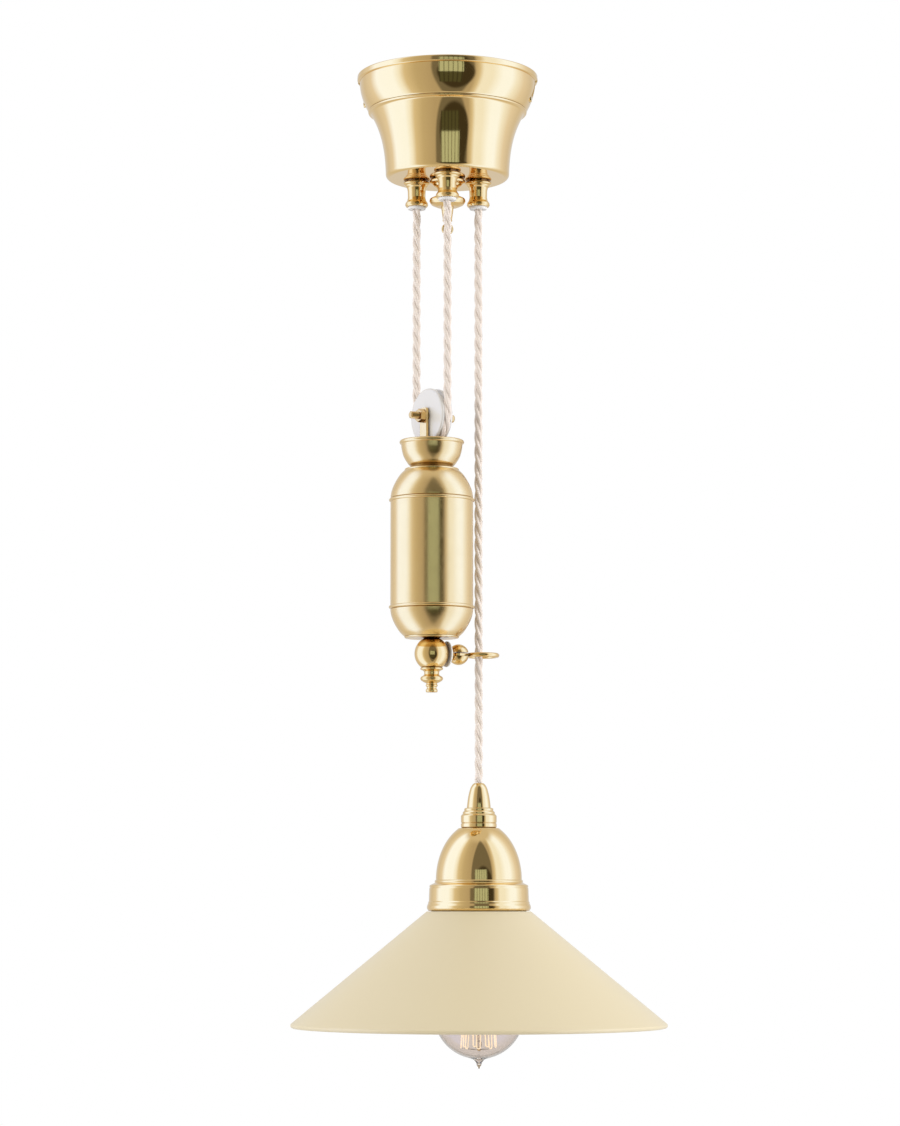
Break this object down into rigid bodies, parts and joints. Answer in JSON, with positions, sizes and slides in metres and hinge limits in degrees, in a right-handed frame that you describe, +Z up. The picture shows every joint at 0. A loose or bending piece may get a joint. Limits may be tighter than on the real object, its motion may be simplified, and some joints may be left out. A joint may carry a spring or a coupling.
{
  "type": "rise and fall pendant lamp",
  "caption": "Brass ceiling pendant with a conical glass shade on a twisted cord, balanced by a cylindrical counterweight that hangs on a pulley.",
  "frame": {"origin": "on the ceiling, on the canopy's vertical axis, midway between the two ceiling screws", "axes": "+Z up to the ceiling, +X right and -Y towards the viewer, with the counterweight in front on the left and the lamp hanging on the right"},
  "size_m": [0.247, 0.247, 0.6604],
  "materials": {
    "polished_brass": "polished and lacquered",
    "steel": "zinc plated",
    "white_porcelain": "glazed",
    "white_nylon": "satin",
    "cast_iron": "as cast",
    "opal_glass": "cream opal, satin",
    "clear_glass": "clear",
    "filament_wire": "glowing wire",
    "twisted_cord": "twisted braided fabric"
  },
  "bodies": {
    "ceiling_canopy": {"ceiling_bracket": "steel", "bayonet_pins": "polished_brass", "earth_screw": "polished_brass", "terminal_block": "white_porcelain", "terminal_screws": "polished_brass", "canopy_shell": "polished_brass", "gland_left": "polished_brass", "gland_front": "polished_brass", "gland_right": "polished_brass", "gland_locknuts": "polished_brass", "bush_left": "white_nylon", "bush_front": "white_nylon", "bush_right": "white_nylon", "centre_boss": "polished_brass", "boss_nut": "polished_brass", "drop_eye": "polished_brass", "cord_stop": "polished_brass", "sheave_yoke": "steel", "sheave_axle": "steel", "cord_tail": "twisted_cord", "cord_left_run": "twisted_cord", "cord_front_run": "twisted_cord", "cord_sheave_wrap": "twisted_cord", "cord_lamp_run": "twisted_cord"},
    "ceiling_wheel": {"ceiling_sheave": "white_porcelain", "sheave_bush": "polished_brass"},
    "counterweight": {"pulley_fork": "polished_brass", "pulley_axle": "steel", "axle_nuts": "polished_brass", "weight_cup": "polished_brass", "rod_nut": "steel", "centre_rod": "steel", "weight_upper_dome": "polished_brass", "weight_barrel": "polished_brass", "weight_lower_dome": "polished_brass", "ballast_discs": "cast_iron", "ballast_slugs": "cast_iron", "finial": "polished_brass", "guide_washer": "white_nylon", "guide_knuckle": "polished_brass", "guide_pin": "steel", "cord_weight_wrap": "twisted_cord"},
    "weight_wheel": {"weight_pulley": "white_porcelain", "pulley_bush": "polished_brass"},
    "guide": {"guide_ring": "polished_brass"},
    "lamp": {"cord_grip": "polished_brass", "stepped_collar": "polished_brass", "holder_dome": "polished_brass", "gallery_band": "polished_brass", "holder_nipple": "polished_brass", "lampholder": "white_porcelain", "socket_shell": "polished_brass", "socket_contact": "polished_brass", "shade_ring": "white_porcelain", "shade": "opal_glass", "bulb_cap": "polished_brass", "bulb_glass": "clear_glass", "bulb_stem": "clear_glass", "filament": "filament_wire", "cord_holder_tail": "twisted_cord"}
  },
  "joints": [
    {"name": "lamp_height", "type": "slide", "parent": "ceiling_canopy", "child": "lamp", "axis": [0, 0, 1], "range_m": [-0.2, 0.05], "deforming": ["cord_lamp_run"]},
    {"name": "weight_height", "type": "slide", "parent": "ceiling_canopy", "child": "counterweight", "axis": [0, 0, 1], "range_m": [-0.025, 0.1], "deforming": ["cord_left_run", "cord_front_run"]},
    {"name": "ceiling_pulley_spin", "type": "hinge", "parent": "ceiling_canopy", "child": "ceiling_wheel", "pos_m": [0.01034, -0.00724, -0.0348], "axis": [0.8192, -0.5736, 0], "range_deg": [-640, 160]},
    {"name": "weight_pulley_spin", "type": "hinge", "parent": "counterweight", "child": "weight_wheel", "pos_m": [-0.01034, -0.00724, -0.2318], "axis": [0.8192, 0.5736, 0], "range_deg": [-320, 80]},
    {"name": "guide_ring_swing", "type": "hinge", "parent": "counterweight", "child": "guide", "pos_m": [0.00727, 0.00114, -0.38922], "axis": [0, 0, 1], "range_deg": [-12, 12]}
  ],
  "couplings": [
    {"joint": "weight_height", "follows": "lamp_height", "ratio": -0.5},
    {"joint": "ceiling_pulley_spin", "follows": "lamp_height", "rad_per_m": 55.49},
    {"joint": "weight_pulley_spin", "follows": "lamp_height", "rad_per_m": 27.745}
  ]
}
